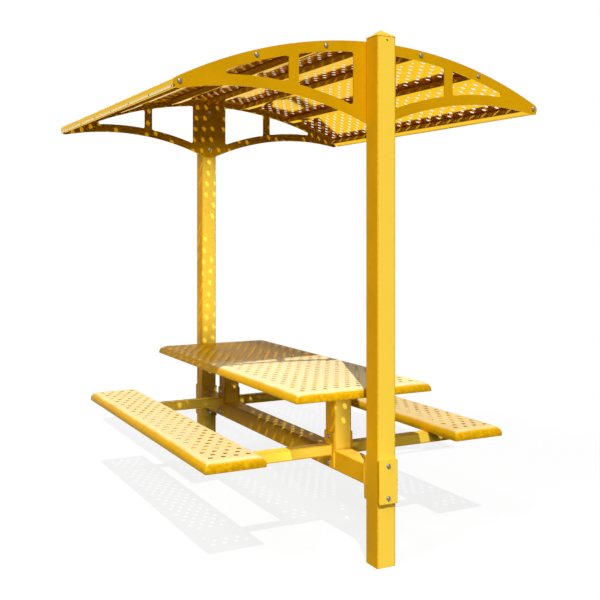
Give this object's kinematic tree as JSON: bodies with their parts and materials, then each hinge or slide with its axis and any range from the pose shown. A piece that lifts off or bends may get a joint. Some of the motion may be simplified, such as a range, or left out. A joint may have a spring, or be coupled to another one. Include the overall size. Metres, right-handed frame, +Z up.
{
  "type": "shaded picnic table",
  "caption": "Steel picnic table with attached benches, carried by a spine beam between posts that also hold up an arched sun roof of perforated sheet.",
  "frame": {"origin": "on the ground midway between the two posts", "axes": "+Z up, +Y from the front post to the rear post, +X along the arches and the seat arms, to the right seen from the front"},
  "size_m": [2.022, 2.3838, 2.518],
  "materials": {
    "post_coat": "yellow powder coat on square steel tube",
    "arch_coat": "yellow powder coat on flat steel plate",
    "sheet_coat": "yellow plastic coat on perforated steel sheet",
    "frame_coat": "yellow powder coat on square steel tube",
    "stainless": "plain stainless steel"
  },
  "bodies": {
    "root": {"bench_left": "sheet_coat", "bench_right": "sheet_coat", "front_arch": "arch_coat", "front_arm_bolt_high": "stainless", "front_arm_bolt_low": "stainless", "front_arm_left": "frame_coat", "front_arm_right": "frame_coat", "front_bench_rail_left": "frame_coat", "front_bench_rail_right": "frame_coat", "front_bolt_eave_left": "stainless", "front_bolt_eave_right": "stainless", "front_bolt_inner_left": "stainless", "front_bolt_inner_right": "stainless", "front_bolt_middle_left": "stainless", "front_bolt_middle_right": "stainless", "front_clamp_bolt_high": "stainless", "front_clamp_bolt_low": "stainless", "front_clamp_plate": "post_coat", "front_pedestal": "frame_coat", "front_post": "post_coat", "front_post_cap": "post_coat", "front_table_rail": "frame_coat", "front_web_bolt_high": "stainless", "front_web_bolt_low": "stainless", "purlin_eave_left": "frame_coat", "purlin_eave_right": "frame_coat", "purlin_inner_left": "frame_coat", "purlin_inner_right": "frame_coat", "purlin_middle_left": "frame_coat", "purlin_middle_right": "frame_coat", "rear_arch": "arch_coat", "rear_arm_bolt_high": "stainless", "rear_arm_bolt_low": "stainless", "rear_arm_left": "frame_coat", "rear_arm_right": "frame_coat", "rear_bench_rail_left": "frame_coat", "rear_bench_rail_right": "frame_coat", "rear_bolt_eave_left": "stainless", "rear_bolt_eave_right": "stainless", "rear_bolt_inner_left": "stainless", "rear_bolt_inner_right": "stainless", "rear_bolt_middle_left": "stainless", "rear_bolt_middle_right": "stainless", "rear_clamp_bolt_high": "stainless", "rear_clamp_bolt_low": "stainless", "rear_clamp_plate": "post_coat", "rear_pedestal": "frame_coat", "rear_post": "post_coat", "rear_post_cap": "post_coat", "rear_table_rail": "frame_coat", "rear_web_bolt_high": "stainless", "rear_web_bolt_low": "stainless", "roof_panel_crown": "sheet_coat", "roof_panel_eave_left": "sheet_coat", "roof_panel_eave_right": "sheet_coat", "roof_panel_slope_left": "sheet_coat", "roof_panel_slope_right": "sheet_coat", "spine_beam": "frame_coat", "table_top": "sheet_coat"}
  },
  "joints": []
}
